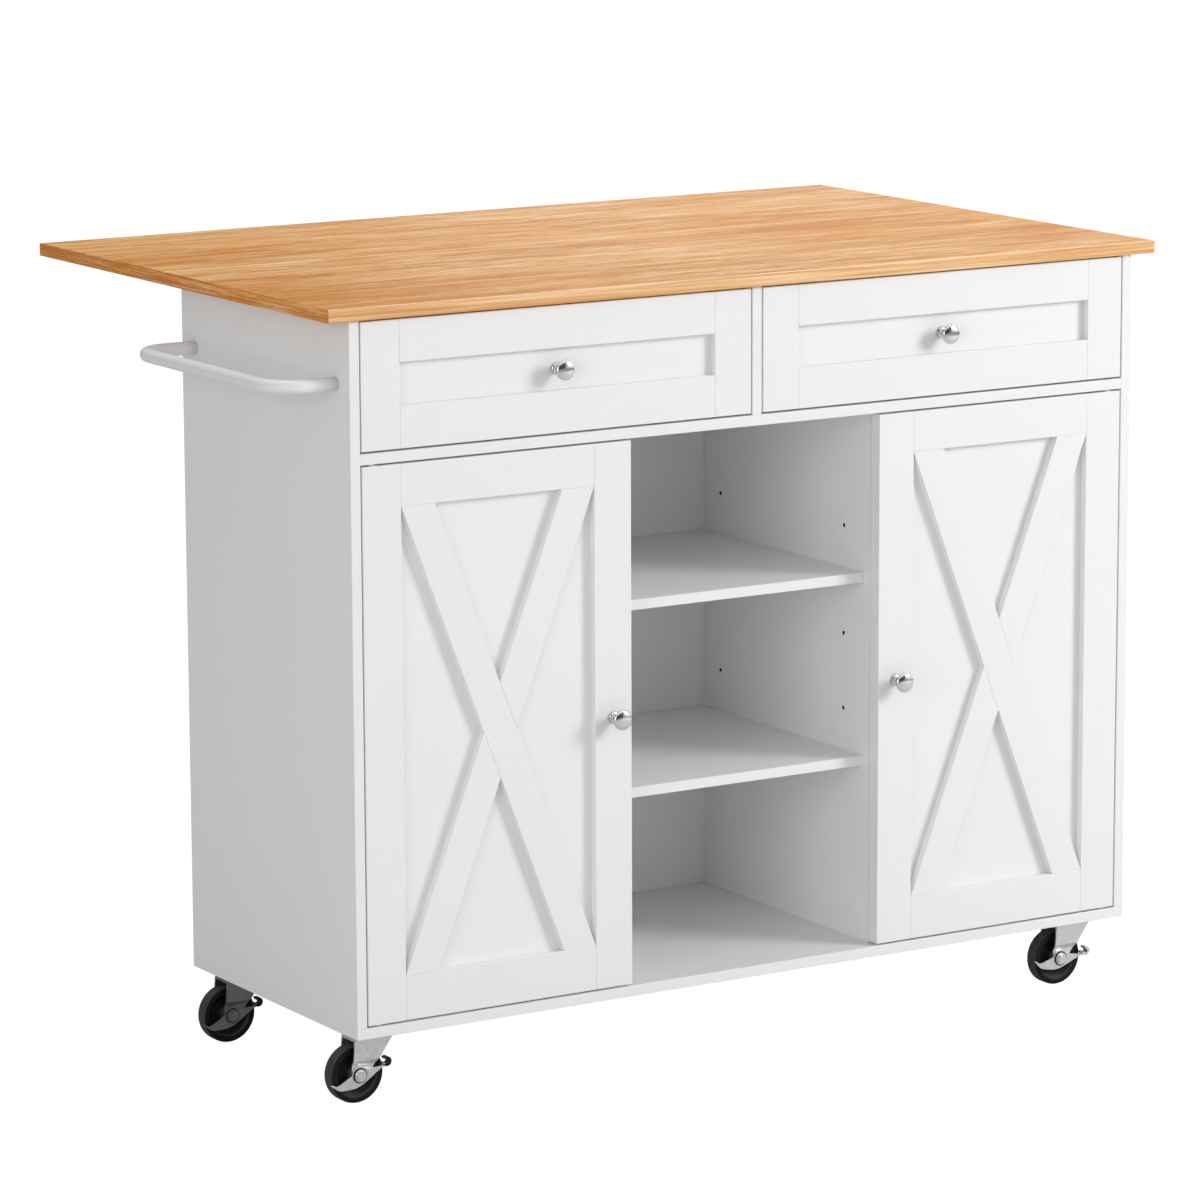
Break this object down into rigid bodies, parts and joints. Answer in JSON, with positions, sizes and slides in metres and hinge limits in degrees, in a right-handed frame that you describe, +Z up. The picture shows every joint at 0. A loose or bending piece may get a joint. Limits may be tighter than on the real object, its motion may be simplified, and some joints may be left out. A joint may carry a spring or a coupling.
{
  "type": "drop leaf kitchen island",
  "caption": "Rolling kitchen island with a folding rear leaf, drawers, cross-braced cupboard doors, an open bay of shelves and a towel bar.",
  "frame": {"origin": "middle of the outline on the floor, with the leaf up and the towel bar and knobs counted", "axes": "+X along the front towards its right end, +Y from the drawer fronts to the leaf, +Z up"},
  "size_m": [1.184, 0.734, 0.915],
  "materials": {
    "white_board": "smooth satin white foil over fibreboard",
    "inner_board": "satin white melamine",
    "oak_laminate": "satin warm oak grain",
    "chrome": "polished",
    "zinc_steel": "bright zinc plate",
    "black_wheel": "black moulded, slightly satin",
    "white_nylon": "plain moulded",
    "white_steel": "white powder coat"
  },
  "bodies": {
    "cabinet": {"worktop": "oak_laminate", "top_rails": "inner_board", "side_panel_left": "white_board", "side_panel_right": "white_board", "bottom_board": "white_board", "middle_deck": "white_board", "divider_left": "inner_board", "divider_right": "inner_board", "drawer_post": "white_board", "back_panel": "inner_board", "shelf_bay_upper": "inner_board", "shelf_bay_lower": "inner_board", "shelves_cupboards": "inner_board", "shelf_pins": "zinc_steel", "towel_bar": "white_steel", "drawer_runners": "zinc_steel", "door_catches": "white_nylon", "caster_plates": "zinc_steel", "cabinet_screws": "zinc_steel", "bracket_wall_legs": "white_steel", "bracket_pins": "zinc_steel"},
    "leaf": {"drop_leaf": "oak_laminate", "bracket_arms": "white_steel", "leaf_screws": "zinc_steel"},
    "brace_left": {"bracket_brace_left": "white_steel"},
    "brace_right": {"bracket_brace_right": "white_steel"},
    "drawer_left": {"drawer_panel_left": "white_board", "drawer_frame_left": "white_board", "drawer_box_left": "inner_board", "drawer_bottom_left": "inner_board", "drawer_slides_left": "zinc_steel", "drawer_knob_left": "chrome"},
    "drawer_right": {"drawer_panel_right": "white_board", "drawer_frame_right": "white_board", "drawer_box_right": "inner_board", "drawer_bottom_right": "inner_board", "drawer_slides_right": "zinc_steel", "drawer_knob_right": "chrome"},
    "door_left": {"door_panel_left": "white_board", "door_frame_left": "white_board", "door_cross_left": "white_board", "door_knob_left": "chrome", "door_fittings_left": "zinc_steel"},
    "door_right": {"door_panel_right": "white_board", "door_frame_right": "white_board", "door_cross_right": "white_board", "door_knob_right": "chrome", "door_fittings_right": "zinc_steel"},
    "fork_front_left": {"fork_front_left": "zinc_steel"},
    "wheel_front_left": {"wheel_front_left": "black_wheel"},
    "lever_front_left": {"lever_front_left": "zinc_steel"},
    "fork_front_right": {"fork_front_right": "zinc_steel"},
    "wheel_front_right": {"wheel_front_right": "black_wheel"},
    "lever_front_right": {"lever_front_right": "zinc_steel"},
    "fork_back_left": {"fork_back_left": "zinc_steel"},
    "wheel_back_left": {"wheel_back_left": "black_wheel"},
    "lever_back_left": {"lever_back_left": "zinc_steel"},
    "fork_back_right": {"fork_back_right": "zinc_steel"},
    "wheel_back_right": {"wheel_back_right": "black_wheel"},
    "lever_back_right": {"lever_back_right": "zinc_steel"}
  },
  "joints": [
    {"name": "leaf_fold", "type": "hinge", "parent": "cabinet", "child": "leaf", "pos_m": [0.027, 0.0585, 0.89], "axis": [-1, 0, 0], "range_deg": [0, 90]},
    {"name": "brace_turn_left", "type": "hinge", "parent": "cabinet", "child": "brace_left", "pos_m": [-0.273, 0.0585, 0.79], "axis": [-1, 0, 0], "range_deg": [0, 124]},
    {"name": "brace_turn_right", "type": "hinge", "parent": "cabinet", "child": "brace_right", "pos_m": [0.327, 0.0585, 0.79], "axis": [-1, 0, 0], "range_deg": [0, 124]},
    {"name": "drawer_pull_left", "type": "slide", "parent": "cabinet", "child": "drawer_left", "axis": [0, -1, 0], "range_m": [0, 0.25]},
    {"name": "drawer_pull_right", "type": "slide", "parent": "cabinet", "child": "drawer_right", "axis": [0, -1, 0], "range_m": [0, 0.25]},
    {"name": "door_swing_left", "type": "hinge", "parent": "cabinet", "child": "door_left", "pos_m": [-0.4793, -0.337, 0.4175], "axis": [0, 0, -1], "range_deg": [0, 110]},
    {"name": "door_swing_right", "type": "hinge", "parent": "cabinet", "child": "door_right", "pos_m": [0.5333, -0.337, 0.4175], "axis": [0, 0, 1], "range_deg": [0, 110]},
    {"name": "swivel_front_left", "type": "hinge", "parent": "cabinet", "child": "fork_front_left", "pos_m": [-0.464, -0.298, 0.076], "axis": [0, 0, 1], "continuous": true},
    {"name": "roll_front_left", "type": "hinge", "parent": "fork_front_left", "child": "wheel_front_left", "pos_m": [-0.49, -0.298, 0.034], "axis": [0, 1, 0], "continuous": true},
    {"name": "brake_front_left", "type": "hinge", "parent": "fork_front_left", "child": "lever_front_left", "pos_m": [-0.49, -0.298, 0.034], "axis": [0, 1, 0], "range_deg": [0, 12]},
    {"name": "swivel_front_right", "type": "hinge", "parent": "cabinet", "child": "fork_front_right", "pos_m": [0.518, -0.298, 0.076], "axis": [0, 0, 1], "continuous": true},
    {"name": "roll_front_right", "type": "hinge", "parent": "fork_front_right", "child": "wheel_front_right", "pos_m": [0.492, -0.298, 0.034], "axis": [0, 1, 0], "continuous": true},
    {"name": "brake_front_right", "type": "hinge", "parent": "fork_front_right", "child": "lever_front_right", "pos_m": [0.492, -0.298, 0.034], "axis": [0, 1, 0], "range_deg": [-12, 0]},
    {"name": "swivel_back_left", "type": "hinge", "parent": "cabinet", "child": "fork_back_left", "pos_m": [-0.464, 0.01, 0.076], "axis": [0, 0, 1], "continuous": true},
    {"name": "roll_back_left", "type": "hinge", "parent": "fork_back_left", "child": "wheel_back_left", "pos_m": [-0.49, 0.01, 0.034], "axis": [0, 1, 0], "continuous": true},
    {"name": "brake_back_left", "type": "hinge", "parent": "fork_back_left", "child": "lever_back_left", "pos_m": [-0.49, 0.01, 0.034], "axis": [0, 1, 0], "range_deg": [0, 12]},
    {"name": "swivel_back_right", "type": "hinge", "parent": "cabinet", "child": "fork_back_right", "pos_m": [0.518, 0.01, 0.076], "axis": [0, 0, 1], "continuous": true},
    {"name": "roll_back_right", "type": "hinge", "parent": "fork_back_right", "child": "wheel_back_right", "pos_m": [0.492, 0.01, 0.034], "axis": [0, 1, 0], "continuous": true},
    {"name": "brake_back_right", "type": "hinge", "parent": "fork_back_right", "child": "lever_back_right", "pos_m": [0.492, 0.01, 0.034], "axis": [0, 1, 0], "range_deg": [0, 12]}
  ],
  "couplings": [
    {"joint": "brace_turn_left", "follows": "leaf_fold", "ratio": 1.375},
    {"joint": "brace_turn_right", "follows": "leaf_fold", "ratio": 1.375}
  ]
}
